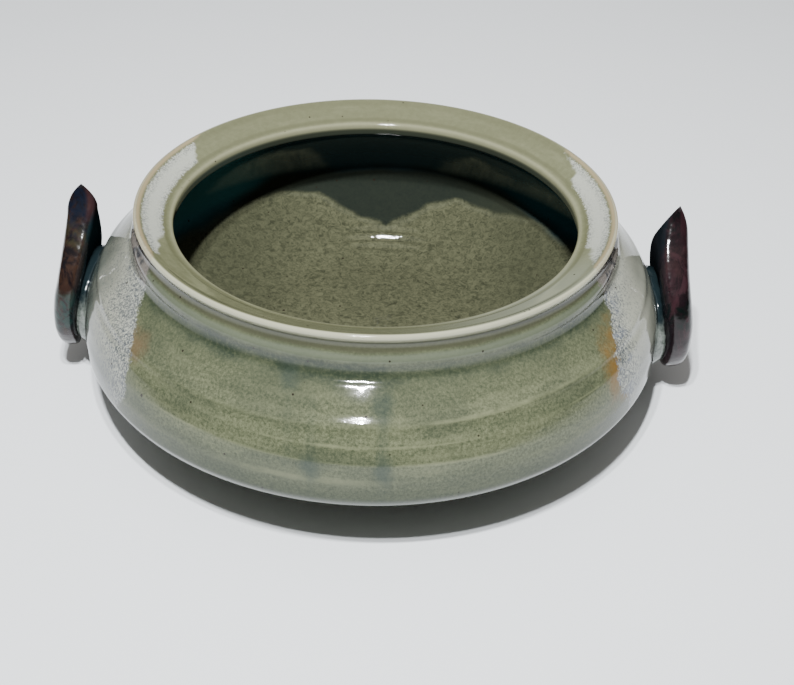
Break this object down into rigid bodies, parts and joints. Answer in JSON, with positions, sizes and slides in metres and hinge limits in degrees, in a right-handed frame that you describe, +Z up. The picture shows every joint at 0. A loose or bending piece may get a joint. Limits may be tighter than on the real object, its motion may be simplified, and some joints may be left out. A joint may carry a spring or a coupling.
{
  "type": "two-handled serving bowl",
  "caption": "Squat round stoneware serving bowl with an inward-sloping rim, a trimmed foot and an upright leaf-shaped lug handle on each side.",
  "frame": {"origin": "middle of the foot, level with the surface that the bowl stands on", "axes": "+Z up along the axis that the bowl was thrown on; the two lugs lie on the X axis"},
  "size_m": [0.2804, 0.249, 0.0909],
  "materials": {
    "body_glaze": "gloss",
    "handle_glaze": "gloss",
    "pad_glaze": "gloss"
  },
  "bodies": {
    "root": {"bowl_body": "body_glaze", "left_handle": "handle_glaze", "right_handle": "handle_glaze", "left_handle_pad": "pad_glaze", "right_handle_pad": "pad_glaze"}
  },
  "joints": []
}
